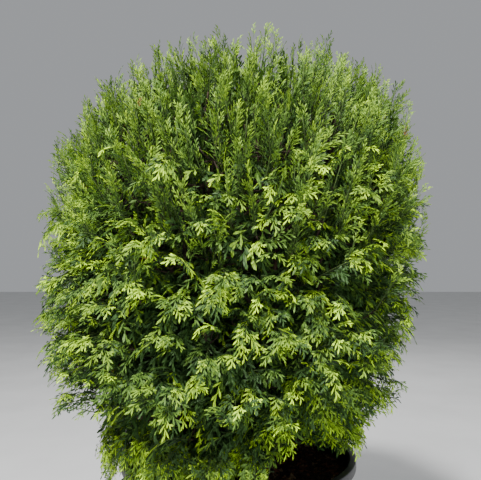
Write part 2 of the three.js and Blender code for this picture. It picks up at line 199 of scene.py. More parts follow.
# %% [markdown]
# ## Chance that repeats
# A living thing is uneven, but the script has to give the same plant each run. So chance comes from a
# seed: one function mixes whole numbers into a number from 0 to 1, exactly as the source of the solids
# does, and smooth noise blends such numbers between the corners of a lattice of cubes. The long lists of
# random numbers come from numpy's own generator, which starts from the same seed.

# %% Seeded chance and smooth noise
SEED = 20261
WORD = 0xFFFFFFFF
LATTICE_KEYS = (73856093, 19349663, 83492791)
LATTICE_SHIFT = 4096
rng = np.random.default_rng(SEED)


def mixed(bits):
    """Whole numbers stirred by two odd multipliers and three shifts, kept to 32 bits, as a share of 1."""
    bits = ((bits ^ (bits >> 16)) * 0x7FEB352D) & WORD
    bits = ((bits ^ (bits >> 15)) * 0x846CA68B) & WORD
    return (bits ^ (bits >> 16)) / 2**32


def chance(a, b, c):
    """Repeatable chance from 0 to 1, worked out from the seed and three whole numbers."""
    keys = ((a + 1) * 0x9E3779B1 & WORD) ^ ((b + 1) * 0x85EBCA6B & WORD) ^ ((c + 1) * 0xC2B2AE35 & WORD)
    return mixed(SEED ^ keys)


def smooth_noise(points, size, seed):
    """Value noise from -1 to 1: chances at the corners of cubes of a size, blended by an S curve."""
    scaled = np.asarray(points, float) / size
    cell = np.floor(scaled).astype(np.int64)
    share = scaled - cell
    share = share * share * (3 - 2 * share)
    total = np.zeros(share.shape[:-1])
    for corner in np.ndindex(2, 2, 2):
        weight = np.prod(np.where(corner, share, 1 - share), axis=-1)
        keys = ((cell + corner + LATTICE_SHIFT) * LATTICE_KEYS).sum(axis=-1)
        total += weight * mixed((keys + seed) & WORD)
    return 2 * total - 1


print("first chance:", round(chance(0, 0, 0), 4))

# %% [markdown]
# ## The crown's outline
# The crown is a squarish globe: two half superellipses that meet at its waist, on a middle line that
# leans a little to the right as it rises. Its foot is squarer at the left than at the right. Most of the
# green is placed by a direction from the heart of the crown and a share of the way from the heart to that
# outline, and what would reach much further is left out, so the outline is kept from every side. The
# driving sizes are those of the solids, here in metres.

# %% Driving sizes of the crown
CROWN_RADIUS = 0.286
CROWN_WAIST = 0.582
CROWN_TOP = 0.893
CROWN_FOOT = 0.240
UPPER_SQUARENESS = 2.8
LOWER_SQUARENESS = (3.1, 2.5)
CROWN_LEAN = 0.055
CROWN_SHIFT = -0.009
HEART = np.array([0, 0, 0.540])
HALVINGS = 30


def crown_radius(height, east):
    """The superellipse: radius times (1 - rise ** p) ** (1 / p), with rise from 0 at the waist to 1.

    Below the waist p falls from left to right; east is -1 at the left of the axis and 1 at its right.
    """
    upper = height > CROWN_WAIST
    lower_squareness = np.interp(east, (-1, 1), LOWER_SQUARENESS)
    squareness = np.where(upper, UPPER_SQUARENESS, lower_squareness)
    span = np.where(upper, CROWN_TOP - CROWN_WAIST, CROWN_WAIST - CROWN_FOOT)
    rise = np.minimum(1, np.abs(height - CROWN_WAIST) / span)
    return CROWN_RADIUS * (1 - rise**squareness) ** (1 / squareness)


def crown_middle(height):
    """The leaning middle line: a shift at the waist and a slope."""
    return CROWN_SHIFT + CROWN_LEAN * (height - CROWN_WAIST)


def in_the_crown(points, margin):
    """No further from the crown's middle line than its outline, with a margin for single tips."""
    off_middle = points[..., 0] - crown_middle(points[..., 2])
    off_axis = np.hypot(off_middle, points[..., 1])
    height = points[..., 2] - margin * np.sign(points[..., 2] - CROWN_WAIST)
    radius = crown_radius(height, off_middle / np.maximum(off_axis, 1e-9))
    return (off_axis < radius + margin) & (height < CROWN_TOP) & (height > CROWN_FOOT)


def crown_reach(directions):
    """How far the crown reaches from its heart, found by halving the distance again and again."""
    near = np.zeros(directions.shape[:-1])
    far = np.full(directions.shape[:-1], CROWN_TOP)
    for _ in range(HALVINGS):
        middle = (near + far) / 2
        outside = ~in_the_crown(HEART + directions * middle[..., None], 0)
        far = np.where(outside, middle, far)
        near = np.where(outside, near, middle)
    return near


print("reach to the top:", round(float(crown_reach(np.array([0.0, 0.0, 1.0]))), 3))

# %% [markdown]
# ## The boughs
# Twenty-four boughs leave the trunk, low ones for the low parts of the crown and high ones for the top.
# Their directions are spread in staggered rings by the same rule and the same chances as in the source,
# so each bough here follows the line of the solid that it stands for.

# %% Directions of the masses and lines of the boughs
MASS_RINGS = [(0.328, 6), (0.485, 6), (0.652, 6), (0.812, 5), (CROWN_TOP, 1)]
RING_TURN = 0.9
RING_JITTER = 0.14
HEIGHT_JITTER = 0.016
TURN_DRAW = 4
LEVEL_DRAW = 5
TRUNK_FOOT = TRUNK_LOW.z
TRUNK_TOP = TRUNK_HIGH.z
TRUNK_BOW = 0.004
LOWEST_BOUGH = 0.335
BOUGH_BEND = 0.36
CORE_DEPTH = 0.73


def mass_direction(ring, i):
    """The direction from the heart to mass i of a ring: an even turn and a level, both a little askew."""
    height, count = MASS_RINGS[ring]
    turn = (i + ring / 2) * 2 * np.pi / count + RING_TURN
    turn += RING_JITTER * (2 * chance(ring, i, TURN_DRAW) - 1)
    level = height
    if count > 1:
        level += HEIGHT_JITTER * (2 * chance(ring, i, LEVEL_DRAW) - 1)
    radius = float(crown_radius(np.array(level), math.cos(turn)))
    x = crown_middle(level) + radius * math.cos(turn)
    return np.array([x, radius * math.sin(turn), level]) - HEART


def trunk_shift(height):
    """The trunk's sideways shift: it leans with the crown, in a slight bow."""
    share = (height - TRUNK_FOOT) / (TRUNK_TOP - TRUNK_FOOT)
    return TRUNK_BOW * share * (1 + share)


mass_places = [(ring, i) for ring, (_, count) in enumerate(MASS_RINGS) for i in range(count)]
DIRECTIONS = unit(np.array([mass_direction(ring, i) for ring, i in mass_places]))
MASS_COUNT = len(DIRECTIONS)
fork_heights = np.linspace(LOWEST_BOUGH, TRUNK_TOP, MASS_COUNT)
bough_starts = np.stack([trunk_shift(fork_heights), np.zeros(MASS_COUNT), fork_heights], axis=-1)
bough_ends = HEART + DIRECTIONS * (CORE_DEPTH * crown_reach(DIRECTIONS))[:, None]
bough_controls = (bough_starts + bough_ends) / 2
bough_controls[:, 2] -= BOUGH_BEND * (bough_ends - bough_starts)[:, 2]
print("boughs:", MASS_COUNT)

# %% [markdown]
# ## Where the fronds grow
# The tips of the fronds are spread evenly over the crown by a spiral whose turns follow the golden angle,
# like the seeds of a sunflower. Each belongs to the mass whose direction it lies nearest to. About half of
# the fronds reach the outline, and more of them on top. The rest stay at every depth of the shade behind,
# so that the gaps between the outer ones look into dark green and not through the plant. The outer fronds
# stand in bunches with gaps between them low on the crown, and close together at staggered levels on top.
# The shoulders swell a little past the outline, most at the right. More fronds are added round the rim of
# the pot, where the crown hangs over it.

# %% Spread the frond tips
FROND_COUNT = 5300
GOLDEN_ANGLE = np.pi * (3 - math.sqrt(5))
SPREAD_JITTER = 0.035
INNER_SHARES = (0.5, 0.38)
INNER_SHARE_LEVELS = (-0.5, 0.5)
OUTER_DEPTHS = (0.95, 1.03)
TOP_STAGGER = (0.05, 0.02)
INNER_DEPTHS = (0.48, 0.74, 0.90)
INNER_DEPTH_SHARES = (0, 0.4, 1)
LUMP_SIZE = 0.085
LUMP_DEPTH = 0.03
TOP_FULLNESS = 0.04
SHOULDER_FULLNESS = 0.030
SHOULDER_SCALE = 7
GAP_SIZE = 0.028
GAP_BOUNDS = (-0.12, -0.9)
GAP_RISES = (0, 0.5)
OPEN_SIDE = np.array([0.56, -0.83, 0])
OPEN_SHARPNESS = 12
SKIRT_LEVEL = 0.299
SKIRT_RISE = 0.050
HEM_LEVEL = 0.244
HEM_RISE = 0.150
EAVE_RADIUS = 0.215
EAVE_NARROWING = 0.020
EAVE_LEVEL = 0.357
EAVE_RISE = 0.12
EAVE_SLOPE = 1.0
EAVE_MIDDLE = 0.229
HEM_FRONDS = 420
HEM_RADII = (0.186, 0.216)
HEM_DEPTH = 0.08
HEM_NARROWING = 0.006
RIM_CLEARANCE = 0.004
HOLLOW_RADIUS = 0.08
HOLLOW_TOP = 0.43


def even_directions(count):
    """A spiral over a ball: equal steps down, and a golden angle round at each step."""
    index = np.arange(count) + 0.5
    height = 1 - 2 * index / count
    turn = GOLDEN_ANGLE * index
    return around(np.sqrt(1 - height**2), turn, height)


def underside(points):
    """The level of the underside: a skirt over the pot, a hem beside its rim, then an eave further out.

    Skirt and hem rise on the open side, where the mix shows. The eave rises to the front, and at the
    right it starts nearer the rim and rises outwards.
    """
    radius = np.hypot(points[..., 0], points[..., 1])
    openness = (np.maximum(0, points @ OPEN_SIDE) / np.maximum(radius, 1e-3)) ** OPEN_SHARPNESS
    skirt = SKIRT_LEVEL + SKIRT_RISE * openness
    hem = HEM_LEVEL + HEM_RISE * openness
    right = np.maximum(0, points[..., 0]) / np.maximum(radius, 1e-3)
    eave = EAVE_LEVEL + EAVE_RISE * np.maximum(0, -points[..., 1])
    eave = np.maximum(hem, eave + EAVE_SLOPE * right * (radius - EAVE_MIDDLE))
    eave_radius = EAVE_RADIUS - EAVE_NARROWING * right
    beside_rim = np.where(radius < eave_radius, hem, eave)
    return np.where(radius < POT_HIGH.x + RIM_CLEARANCE, skirt, beside_rim)


def in_the_open(points):
    """Above the underside, and not in the hollow round the trunk."""
    radius = np.hypot(points[..., 0], points[..., 1])
    in_hollow = (radius < HOLLOW_RADIUS) & (points[..., 2] < HOLLOW_TOP)
    return (points[..., 2] > underside(points)) & ~in_hollow


def hem_tips():
    """Tips round the pot's rim, from the underside to a little above it, nearer the rim at the right."""
    turn = GOLDEN_ANGLE * np.arange(HEM_FRONDS)
    radius = rng.uniform(*HEM_RADII, HEM_FRONDS) - HEM_NARROWING * (1 + np.cos(turn))
    places = around(radius, turn, 0)
    places[:, 2] = underside(places) + HEM_DEPTH * rng.random(HEM_FRONDS)
    return places


def rise_in_crown(points):
    """From 0 at the crown's waist to 1 at its top."""
    return (points[:, 2] - CROWN_WAIST) / (CROWN_TOP - CROWN_WAIST)


directions = unit(even_directions(FROND_COUNT) + SPREAD_JITTER * rng.normal(size=(FROND_COUNT, 3)))
inner = rng.random(FROND_COUNT) < np.interp(directions[:, 2], INNER_SHARE_LEVELS, INNER_SHARES)
depth_share = rng.random(FROND_COUNT)
rise = np.maximum(0, directions[:, 2])
inner_depth = np.interp(depth_share, INNER_DEPTH_SHARES, INNER_DEPTHS) + TOP_STAGGER[0] * rise
outer_depth = np.interp(depth_share, (0, 1), OUTER_DEPTHS) - TOP_STAGGER[1] * rise
depth = np.where(inner, inner_depth, outer_depth)
lump = smooth_noise(directions * crown_reach(directions)[:, None], LUMP_SIZE, SEED)
shoulder = SHOULDER_SCALE * rise**4 * (1 - rise**2) * (1 + directions[:, 0])
depth = depth + LUMP_DEPTH * np.minimum(0, lump) + TOP_FULLNESS * rise + SHOULDER_FULLNESS * shoulder
tips = HEART + directions * (depth * crown_reach(directions))[:, None]
gap_bound = np.interp(rise_in_crown(tips), GAP_RISES, GAP_BOUNDS)
gaps = smooth_noise(tips, GAP_SIZE, SEED + 9)
kept = in_the_open(tips) & (inner | (gaps > gap_bound))
hanging_tips = hem_tips()
tips = np.vstack([tips[kept], hanging_tips])
directions = np.vstack([directions[kept], unit(hanging_tips - HEART)])
inner = np.append(inner[kept], np.zeros(HEM_FRONDS, bool))
frond_count = len(tips)
frond_mass = np.argmax(directions @ DIRECTIONS.T, axis=1)
print("fronds:", frond_count, "inner:", int(inner.sum()))

# %% [markdown]
# ## How a frond bends
# Low on the plant a frond grows outwards in a flat tier, arches over and lets its tip droop, and beside
# the pot it sets out level and hangs down over the rim. High on the plant it stands almost upright. Each
# frond is a quadratic curve, fixed by the direction in which it leaves its twig and the direction in which
# it ends. Its flat side turns to the sky on a low frond, and any way on a high one. Every direction is a
# weight outwards plus a weight upwards, and wanders a little by chance.

# %% Lines of the fronds
UPRIGHT_BETWEEN = (0.0, 0.5)
UPRIGHT_MIXING = 0.15
FROND_LENGTH = (0.096, 0.090)
FROND_LENGTH_SPREAD = (0.85, 1.15)
DRAPED_BETWEEN = (0.28, 0.36)
DRAPED_LENGTHENING = 0.35
LOW_LEAVING = (1, 0.35)
HIGH_LEAVING = (1, 0.8)
DRAPED_LEAVING = (0.95, 0.1)
LEAVING_WANDER = 0.25
LOW_ENDING = (0.95, -0.3)
HIGH_ENDING = (0.65, 0.75)
DRAPED_ENDING = (0.15, -1)
ENDING_WANDER = (0.4, 0.2)
FACING_OUT = (0.15, 0.3)
FACING_WANDER = 0.28
FACING_LEVEL = (1, 1, 0.2)
UP = np.array([0, 0, 1.0])


def s_curve(values, low, high):
    """From 0 below low to 1 above high, with level ends."""
    share = np.clip((values - low) / (high - low), 0, 1)
    return share * share * (3 - 2 * share)


def mixture(share, first, second):
    """A share of the way from the first value to the second, frond by frond."""
    return first + (second - first) * share


def aimed(way, weights):
    """A weight along a way plus a weight upwards."""
    return weights[0] * way + weights[1] * UP


mixed_rise = rise_in_crown(tips) + UPRIGHT_MIXING * rng.normal(size=frond_count)
upright = s_curve(mixed_rise, *UPRIGHT_BETWEEN)[:, None]
draped = 1 - s_curve(tips[:, 2], *DRAPED_BETWEEN)[:, None]
outward = unit(tips * (1, 1, 0))
wander = rng.normal(size=(3, frond_count, 3))
leaving = mixture(upright, aimed(outward, LOW_LEAVING), aimed(directions, HIGH_LEAVING))
leaving = mixture(draped, leaving, aimed(outward, DRAPED_LEAVING))
leaving = unit(leaving + LEAVING_WANDER * wander[0])
hanging = mixture(draped, aimed(outward, LOW_ENDING), aimed(outward, DRAPED_ENDING))
hanging = hanging + ENDING_WANDER[0] * wander[1]
standing = aimed(directions, HIGH_ENDING) + ENDING_WANDER[1] * wander[1]
ending = unit(mixture(upright, hanging, standing))
frond_length = mixture(upright[:, 0], *FROND_LENGTH) * rng.uniform(*FROND_LENGTH_SPREAD, frond_count)
frond_length = frond_length * (1 + DRAPED_LENGTHENING * draped[:, 0])
half_length = frond_length[:, None] / 2
roots = tips - half_length * (leaving + ending)
bends = roots + half_length * leaving
facing_sky = UP + FACING_OUT[0] * outward + FACING_WANDER * wander[2]
facing_round = wander[2] * FACING_LEVEL + FACING_OUT[1] * directions
facing = unit(mixture(upright, facing_sky, facing_round))
print("frond lengths, mm:", np.round(1000 * np.percentile(frond_length, (5, 50, 95))))

# %% [markdown]
# ## A spray, drawn once
# A spray is a flat fan: an axis with branchlets to its left and right by turns. The lower branchlets fork
# into side shoots and the upper ones stay single. Every scaly shoot is a slim blade folded along its
# middle, two triangles, tilted so that each one catches the light in its own way. A fan is drawn once,
# one unit long, and then copied by arithmetic to every place where one grows. There are three: an open
# one, a slim one for the upright fronds, and a plain one for the shade. End shoots are kept apart from
# those near the axis, because they are younger and paler.

# %% Draw the fans
SHOULDER = 0.66
FOLD = 0.3
TILT = 0.55
LOWEST_LATERAL = 0.12
HIGHEST_LATERAL = 0.84
STALK_SHARE = 0.6
AXIS_LENGTH = 0.75
TIP_START = 0.62
TIP_LENGTH = 0.38
LATERAL_SHORTENING = 0.5
SHORTENING_POWER = 1.5
ANGLE_NARROWING = 0.2
FORK_STALK = 0.7
FORK_START = 0.45
FORK_TURN = 0.85
FORK_LENGTH = 0.55
SIDE_LENGTH = 0.48


def shoot(start, heading, length, width, tilt):
    """Corners of a slim blade: its root, right shoulder, tip and left shoulder.

    heading is its turn from the fan's axis. The root starts a width back, inside what carries it. The
    shoulders lie below the fold, and the tilt raises the left one and lowers the right one.
    """
    along = np.array([math.cos(heading), math.sin(heading), 0])
    across = np.array([-math.sin(heading), math.cos(heading), tilt]) * width / 2
    start = np.array([start[0], start[1], 0])
    shoulder = start + SHOULDER * length * along - FOLD * width / 2 * UP
    return [start - width * along, shoulder - across, start + length * along, shoulder + across]


def fan(laterals, forked, angle, breadth, width, side_places=(), side_turn=0):
    """A fan's shoots and which of them are end shoots, from its branchlets' number, angle and length.

    The branchlets shorten towards the tip. Those that are forked, the lower ones, carry side shoots, to
    each side by turns, at side_places along them.
    """
    stalk = STALK_SHARE * width
    shoots = [shoot((0, 0), 0, AXIS_LENGTH, stalk, 0), shoot((TIP_START, 0), 0, TIP_LENGTH, width, TILT)]
    ends = [False, True]
    for j in range(laterals):
        share = j / (laterals - 1)
        side = 1 if j % 2 else -1
        start = np.array([LOWEST_LATERAL + (HIGHEST_LATERAL - LOWEST_LATERAL) * share, 0])
        length = breadth * (1 - LATERAL_SHORTENING * share**SHORTENING_POWER)
        heading = side * angle * (1 - ANGLE_NARROWING * share)
        along = np.array([math.cos(heading), math.sin(heading)])
        if j >= forked:
            shoots.append(shoot(start, heading, length, width, side * TILT))
            ends.append(True)
            continue
        shoots.append(shoot(start, heading, FORK_STALK * length, stalk, 0))
        fork = start + FORK_START * length * along
        shoots.append(shoot(fork, FORK_TURN * heading, FORK_LENGTH * length, width, side * TILT))
        ends += [False, True]
        for k, place in enumerate(side_places):
            turn = side if k % 2 else -side
            fork = start + place * length * along
            turned = heading + turn * side_turn
            shoots.append(shoot(fork, turned, SIDE_LENGTH * length, width, turn * TILT))
            ends.append(True)
    return np.array(shoots), np.array(ends)


OPEN_FAN = fan(
    laterals=5,
    forked=2,
    angle=math.radians(46),
    breadth=0.53,
    width=0.072,
    side_places=(0.3, 0.55),
    side_turn=math.radians(42),
)
SLIM_FAN = fan(
    laterals=5,
    forked=2,
    angle=math.radians(25),
    breadth=0.46,
    width=0.056,
    side_places=(0.4,),
    side_turn=math.radians(28),
)
PLAIN_FAN = fan(laterals=4, forked=0, angle=math.radians(42), breadth=0.46, width=0.10)
print("shoots in a fan:", len(OPEN_FAN[0]), len(SLIM_FAN[0]), len(PLAIN_FAN[0]))

# %% [markdown]
# ## Sprays along a frond
# A frond carries sprays to its left and right by turns, longest a third of the way along, and one more at
# its end. All of them lie near the frond's own plane, and each has a roll of its own. Gravity makes them
# sag, but hardly at all on an upright frond.

# %% Place the sprays
SIDE_SPRAYS = 15
FIRST_SPRAY = 0.06
LAST_SPRAY = 0.72
END_SPRAY_STEP = 0.03
SPRAY_LENGTHS = (0.0225, 0.0220)
SPRAY_LENGTH_SPREAD = (0.8, 1.15)
LONGEST_SPRAY = 0.3
LONGEST_FACTOR = 1.05
SPRAY_SHORTENING = 0.5
INNER_ENLARGING = 1.4
SPRAY_ANGLE = (54, 27)
SPRAY_ANGLE_LOSS = 0.3
SPRAY_ANGLE_SPREAD = (0.7, 1.3)
ROLL = (0.35, 0.8)


def curve_point(share):
    """Point and direction of every frond's curve at a share of its length."""
    point = roots * (1 - share) ** 2 + bends * (2 * share * (1 - share)) + tips * share**2
    direction = unit((bends - roots) * (1 - share) + (tips - bends) * share)
    return point, direction


def frond_plane(direction):
    """The frond's sideways direction and its face, both square to the direction in which it runs."""
    across = unit(np.cross(facing, direction))
    return across, np.cross(direction, across)


def sprays_at(index):
    """One spray of every frond: its place, direction, face, length and share of the way along."""
    at_end = index == SIDE_SPRAYS
    share = FIRST_SPRAY + (LAST_SPRAY - FIRST_SPRAY) * index / (SIDE_SPRAYS - 1)
    share = LAST_SPRAY + END_SPRAY_STEP if at_end else share
    point, direction = curve_point(share)
    across, face = frond_plane(direction)
    opening = np.radians(mixture(upright[:, 0], *SPRAY_ANGLE))
    opening = opening * (1 - SPRAY_ANGLE_LOSS * share / LAST_SPRAY)
    opening = opening * rng.uniform(*SPRAY_ANGLE_SPREAD, frond_count)
    side = 0 if at_end else (1 if index % 2 else -1)
    angle = (side * opening)[:, None]
    along = np.cos(angle) * direction + np.sin(angle) * across
    roll = mixture(upright, *ROLL) * rng.normal(size=(frond_count, 1))
    face = unit(face + roll * np.cross(along, face))
    shortened = LONGEST_FACTOR - SPRAY_SHORTENING * abs(share - LONGEST_SPRAY)
    length = mixture(upright[:, 0], *SPRAY_LENGTHS) * shortened
    length = length * rng.uniform(*SPRAY_LENGTH_SPREAD, frond_count) * np.where(inner, INNER_ENLARGING, 1)
    return point, along, face, length, np.full(frond_count, share)


rows = [sprays_at(index) for index in range(SIDE_SPRAYS + 1)]
columns = [np.concatenate(part) for part in zip(*rows)]
spray_point, spray_along, spray_face, spray_length, spray_share = columns
spray_frond = np.tile(np.arange(frond_count), SIDE_SPRAYS + 1)
spray_across = unit(np.cross(spray_face, spray_along))
spray_face = np.cross(spray_along, spray_across)
spray_upright = upright[spray_frond, 0]
spray_inner = inner[spray_frond]
print("sprays:", len(spray_point))

# %% Copy a fan to its places
CURL = 0.3
CUP = 0.45
SAG = (0.34, 0.02)
MISSING_SPRAYS = (0.40, 0.26)


def grow(shape, chosen):
    """Copies of a fan on the chosen sprays: copies x shoots x 4 corners x 3.

    Along and across are the spray's own directions, scaled by its length. The fan curls down with the
    square of the way along it and cups with the square of the way across, and gravity pulls its end.
    """
    along, across, above = np.moveaxis(shape, -1, 0)[..., None]
    size = spray_length[chosen, None, None, None]
    lifted = above - CURL * along**2 - CUP * across**2
    frames = [vectors[chosen, None, None] for vectors in (spray_along, spray_across, spray_face)]
    offset = frames[0] * along + frames[1] * across + frames[2] * lifted
    sag = mixture(spray_upright[chosen], *SAG)[:, None, None, None]
    return spray_point[chosen, None, None] + size * (offset - sag * along**2 * UP)


# %% [markdown]
# ## What would not fit
# A spray that would reach past the crown's outline, below its underside or into the hollow round the trunk
# isn't grown, and some more are missing by chance, as on a real frond. A frond that would cut through the
# pot's wall isn't grown either, nor is one that is left with too few sprays to hide its stalk.

# %% Leave out what would not fit
TIP_MARGINS = (0.010, 0.028)
RIM_MARGIN = 0.010
FEWEST_SPRAYS = 6
AXIS_END = 0.70
AXIS_SAMPLES = 16
POT_INSIDE = 0.160


def through_the_pot(paths):
    """Whether each path (n x steps x 3) enters the pot's wall: a ring wider than it, up to its rim."""
    radius = np.hypot(paths[..., 0], paths[..., 1])
    in_ring = (radius > POT_INSIDE) & (radius < POT_HIGH.x + RIM_CLEARANCE)
    return (in_ring & (paths[..., 2] < POT_HIGH.z + RIM_CLEARANCE / 2)).any(axis=-1)


all_sprays = np.arange(len(spray_point))
outlines = grow(PLAIN_FAN[0], all_sprays)
beside_rim = (draped[:, 0] * np.maximum(0, outward[:, 0]))[spray_frond]
margins = (mixture(spray_upright, *TIP_MARGINS) + RIM_MARGIN * beside_rim)[:, None, None]
fitting = (in_the_open(outlines) & in_the_crown(outlines, margins)).all(axis=(1, 2))
fitting &= rng.random(len(spray_point)) > mixture(spray_upright, *MISSING_SPRAYS)
fitting_count = np.bincount(spray_frond[fitting], minlength=frond_count)
sample_shares = np.linspace(0, AXIS_END, AXIS_SAMPLES)
frond_lines = np.stack([curve_point(share)[0] for share in sample_shares], axis=1)
root_beyond_rim = (np.hypot(roots[:, 0], roots[:, 1]) > POT_INSIDE) & (roots[:, 2] < POT_HIGH.z)
cut_by_pot = through_the_pot(frond_lines) | root_beyond_rim
frond_stands = (fitting_count >= FEWEST_SPRAYS) & ~cut_by_pot
print("fronds that the pot would cut, left out:", int(cut_by_pot.sum()))
fitting &= frond_stands[spray_frond]
print("sprays left out:", int((~fitting).sum()), "fronds left out:", int((~frond_stands).sum()))

# %% [markdown]
# ## Colours dealt out by spray
# Sun and shade are painted into the colour here. The tones are lit and shaded copies of one green: lime
# and yellow for painted sunlight and deep green for painted shade, besides paler new growth and plain
# green older sprays. Each spray gets a number for how sunlit it is, from its place on the frond, its
# height, small lighter and darker patches and chance. Its height paints shade below the waist, where the
# crown overhangs, and a little light on top. It is lower in the painted shade behind, and differs less
# among upright fronds. The number picks a tone for the shoots near the axis, and the end shoots take the
# next paler one. A few sprays have dried to a dull brown.

# %% Deal out the tones
TONES = ("shade", "deep", "green", "fresh", "yellow", "lime", "dry")
TONE_BOUNDS = (0.2, 0.42, 0.62, 0.8)
PATCH_SIZE = 0.022
LIGHT_LEVELS = (0.37, 0.43, 0.52, 0.60, 0.75)
LIGHT_SHIFTS = (0.03, -0.14, -0.07, 0.02, 0.04)
DRY_SHARE = 0.0008
UNEVENNESS = (0.27, 0.08)
LIGHT_AT_ROOT = (0.17, 0.24)
LIGHT_GAIN = (0.48, 0.34)
PATCH_STRENGTH = (0.24, 0.10)
INNER_SHADE = (0.34, 0.18)
SLIM_BETWEEN = (0.15, 0.6)

# The sunlit number paints sun and shade: it picks lit and shaded copies of one green.
unevenness = mixture(spray_upright, *UNEVENNESS)
low_light = LIGHT_AT_ROOT[0] + LIGHT_GAIN[0] * spray_share
high_light = LIGHT_AT_ROOT[1] + LIGHT_GAIN[1] * spray_share
sunlit = mixture(spray_upright, low_light, high_light) + unevenness * rng.normal(size=len(spray_point))
sunlit += mixture(spray_upright, *PATCH_STRENGTH) * smooth_noise(spray_point, PATCH_SIZE, SEED + 1)
# Painted shade: the sprays behind the outer ones are dealt darker tones.
sunlit -= mixture(spray_upright, *INNER_SHADE) * spray_inner
# Painted shade below the waist, where the crown overhangs, and a little painted light at the foot and on
# top.
sunlit += np.interp(spray_point[:, 2], LIGHT_LEVELS, LIGHT_SHIFTS)
tone_of_spray = np.searchsorted(TONE_BOUNDS, sunlit)
dry = rng.random(len(spray_point)) < DRY_SHARE
print("sprays of each tone:", np.bincount(tone_of_spray, minlength=len(TONES)), "dry:", int(dry.sum()))

SHOOT_TRIANGLES = np.array([[0, 1, 2], [0, 2, 3]])


def sort_by_tone():
    """All shoots of the crown, as one list of copies x 4 x 3 for each tone."""
    heaps = [[] for _ in TONES]
    outer = ~spray_inner
    slim = spray_upright > rng.uniform(*SLIM_BETWEEN, len(spray_upright))
    kinds = ((OPEN_FAN, outer & ~slim), (SLIM_FAN, outer & slim), (PLAIN_FAN, spray_inner))
    for (shape, ends), which in kinds:
        chosen = np.flatnonzero(which & fitting)
        shoots = grow(shape, chosen)
        tone = tone_of_spray[chosen][:, None] + ends[None]
        tone[dry[chosen]] = TONES.index("dry")
        for number, heap in enumerate(heaps):
            heap.append(shoots[tone == number])
    return [np.concatenate(heap) for heap in heaps]


shoots_by_tone = sort_by_tone()
print("shoots of each tone:", [len(shoots) for shoots in shoots_by_tone])

# %% [markdown]
# ## Branches and twigs
# Each bough forks again. A few fronds of a mass are leaders: a branch runs from the bough to each of
# their roots. Every other frond hangs on the nearest point of a branch by a thin twig. Twigs beside the
# pot are lifted over its rim. That is the rule of the source, carried two forks further.

# %% Grow the branches and twigs
LEADERS = 9
BRANCH_STEPS = 8
BRANCH_STARTS = (0.45, 0.97)
BRANCH_SAG = 0.12
FIRST_JOINT = 2
LINE_STEPS = 60
TWIG_STEPS = 4
TWIG_BEND = 0.5
AXIS_STEPS = 4


def limb_lines(mass):
    """A mass's branches as curves, where its twigs start, and which fronds those twigs carry."""
    members = np.flatnonzero((frond_mass == mass) & frond_stands)
    leaders = members[:: max(1, len(members) // LEADERS)]
    starts_share = np.linspace(*BRANCH_STARTS, len(leaders))
    line = bent(*(ends[mass][None] for ends in (bough_starts, bough_controls, bough_ends)), LINE_STEPS)[0]
    starts = line[np.round(starts_share * (LINE_STEPS - 1)).astype(int)]
    ends = roots[leaders]
    controls = (starts + ends) / 2 - BRANCH_SAG * np.linalg.norm(ends - starts, axis=-1)[:, None] * UP
    branches = bent(starts, controls, ends, BRANCH_STEPS)
    joints = branches[:, FIRST_JOINT:].reshape(-1, 3)
    others = np.setdiff1d(members, leaders)
    distance = np.linalg.norm(roots[others][:, None] - joints[None], axis=-1)
    return branches, joints[np.argmin(distance, axis=1)], others


limb_parts = [limb_lines(mass) for mass in range(MASS_COUNT)]
branch_paths = np.concatenate([part[0] for part in limb_parts])
twig_starts = np.concatenate([part[1] for part in limb_parts])
twig_fronds = np.concatenate([part[2] for part in limb_parts])
twig_ends = roots[twig_fronds]
twig_length = np.linalg.norm(twig_ends - twig_starts, axis=-1)[:, None]
twig_controls = twig_ends - TWIG_BEND * twig_length * leaving[twig_fronds]
twig_controls[:, 2] = np.maximum(twig_controls[:, 2], POT_HIGH.z + 2 * RIM_CLEARANCE)
twig_paths = bent(twig_starts, twig_controls, twig_ends, TWIG_STEPS)
axis_shares = np.linspace(0, AXIS_END, AXIS_STEPS)
axis_paths = np.stack([curve_point(share)[0][frond_stands] for share in axis_shares], axis=1)
print("branches:", len(branch_paths), "twigs:", len(twig_paths))
print("twigs through the pot:", int(through_the_pot(twig_paths).sum()))

# %% [markdown]
# ## Finishes: green shoots
# The shoots are covered in tiny scales, two or three millimetres long. At that size a fine mottle of the
# colour and a shallow bump are all that the eye can see. The mottle has no place of its own, so it may
# fall anywhere. The tone itself is a plain colour of the material, one material for each tone. Most tones
# are lit and shaded copies of one green, with sun and shade painted into them, and one is a dry brown.

# %% Materials for the shoots
def new_material(name):
    """A node material, given with its nodes, its links and its Principled shader."""
    material = bpy.data.materials.new(name)
    material.use_nodes = True
    nodes = material.node_tree.nodes
    return material, nodes, material.node_tree.links, nodes["Principled BSDF"]


def noise_node(nodes, links, size, detail, stretch=(1, 1, 1)):
    """Noise on the object's own coordinates, with lumps of a size in metres, stretched along an axis."""
    place = nodes.new("ShaderNodeTexCoord")
    scale = nodes.new("ShaderNodeMapping")
    scale.inputs["Scale"].default_value = stretch
    noise = nodes.new("ShaderNodeTexNoise")
    noise.inputs["Scale"].default_value = 1 / size
    noise.inputs["Detail"].default_value = detail
    links.new(place.outputs["Object"], scale.inputs["Vector"])
    links.new(scale.outputs["Vector"], noise.inputs["Vector"])
    return noise


def blend_colours(nodes, links, factor, low, high, dark, light):
    """A ramp from a dark to a light colour as a factor goes from low to high."""
    ramp = nodes.new("ShaderNodeValToRGB")
    ramp.color_ramp.elements[0].position = low
    ramp.color_ramp.elements[1].position = high
    ramp.color_ramp.elements[0].color = (*dark, 1)
    ramp.color_ramp.elements[1].color = (*light, 1)
    links.new(factor, ramp.inputs["Fac"])
    return ramp.outputs["Color"]


